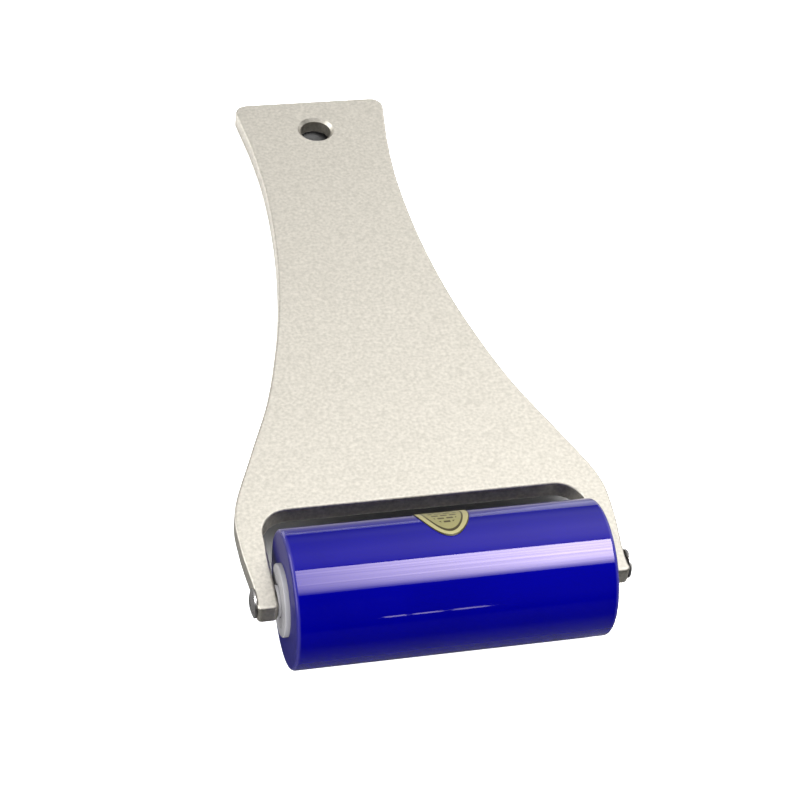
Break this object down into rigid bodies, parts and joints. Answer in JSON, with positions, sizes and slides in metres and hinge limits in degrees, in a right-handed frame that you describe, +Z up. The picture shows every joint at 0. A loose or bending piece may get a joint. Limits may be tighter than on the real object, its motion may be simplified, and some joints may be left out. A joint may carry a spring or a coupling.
{
  "type": "hand roller",
  "caption": "Hand roller for pressing seams and film: flat forked aluminium handle with a hanging hole, and a soft silicone sleeve turning on ball bearings across the fork.",
  "frame": {"origin": "middle of the bottom of the tool's box: the level surface that the roller and the handle's rear edge lie on, under the middle of its length and width", "axes": "+X along the roller's axle, towards the right with the handle pointing away; +Y from the roller towards the hanging hole; +Z up, out of the handle's upper face, which leans 4.6 degrees down towards its rear"},
  "size_m": [0.092, 0.192, 0.0328],
  "materials": {
    "blasted_aluminium": "satin, fine bead-blasted and clear anodised",
    "blue_silicone": "smooth glossy cast silicone",
    "white_plastic": "smooth moulded",
    "turned_steel": "turned",
    "screw_steel": "plated, slightly dark",
    "bearing_steel": "ground and polished",
    "cage_brass": "pressed",
    "gold_foil": "metallised sticker with a printed border"
  },
  "bodies": {
    "handle": {"handle_frame": "blasted_aluminium", "axle_shaft": "turned_steel", "left_axle_screw": "screw_steel", "right_axle_screw": "screw_steel", "left_spacer": "white_plastic", "right_spacer": "white_plastic", "left_inner_race": "bearing_steel", "right_inner_race": "bearing_steel"},
    "roller": {"silicone_sleeve": "blue_silicone", "roller_core": "white_plastic", "sleeve_label": "gold_foil", "left_end_cap": "white_plastic", "left_outer_race": "bearing_steel", "left_outside_shield": "turned_steel", "left_inside_shield": "turned_steel", "right_end_cap": "white_plastic", "right_outer_race": "bearing_steel", "right_outside_shield": "turned_steel", "right_inside_shield": "turned_steel"},
    "left_balls": {"left_ball_cage": "cage_brass", "left_ball_1": "bearing_steel", "left_ball_2": "bearing_steel", "left_ball_3": "bearing_steel", "left_ball_4": "bearing_steel", "left_ball_5": "bearing_steel", "left_ball_6": "bearing_steel", "left_ball_7": "bearing_steel"},
    "right_balls": {"right_ball_cage": "cage_brass", "right_ball_1": "bearing_steel", "right_ball_2": "bearing_steel", "right_ball_3": "bearing_steel", "right_ball_4": "bearing_steel", "right_ball_5": "bearing_steel", "right_ball_6": "bearing_steel", "right_ball_7": "bearing_steel"}
  },
  "joints": [
    {"name": "roller_spin", "type": "hinge", "parent": "handle", "child": "roller", "pos_m": [0, -0.07965, 0.0164], "axis": [1, 0, 0], "continuous": true},
    {"name": "left_cage_spin", "type": "hinge", "parent": "handle", "child": "left_balls", "pos_m": [0, -0.07965, 0.0164], "axis": [1, 0, 0], "continuous": true},
    {"name": "right_cage_spin", "type": "hinge", "parent": "handle", "child": "right_balls", "pos_m": [0, -0.07965, 0.0164], "axis": [1, 0, 0], "continuous": true}
  ],
  "couplings": [
    {"joint": "left_cage_spin", "follows": "roller_spin", "ratio": 0.60526},
    {"joint": "right_cage_spin", "follows": "roller_spin", "ratio": 0.60526}
  ]
}
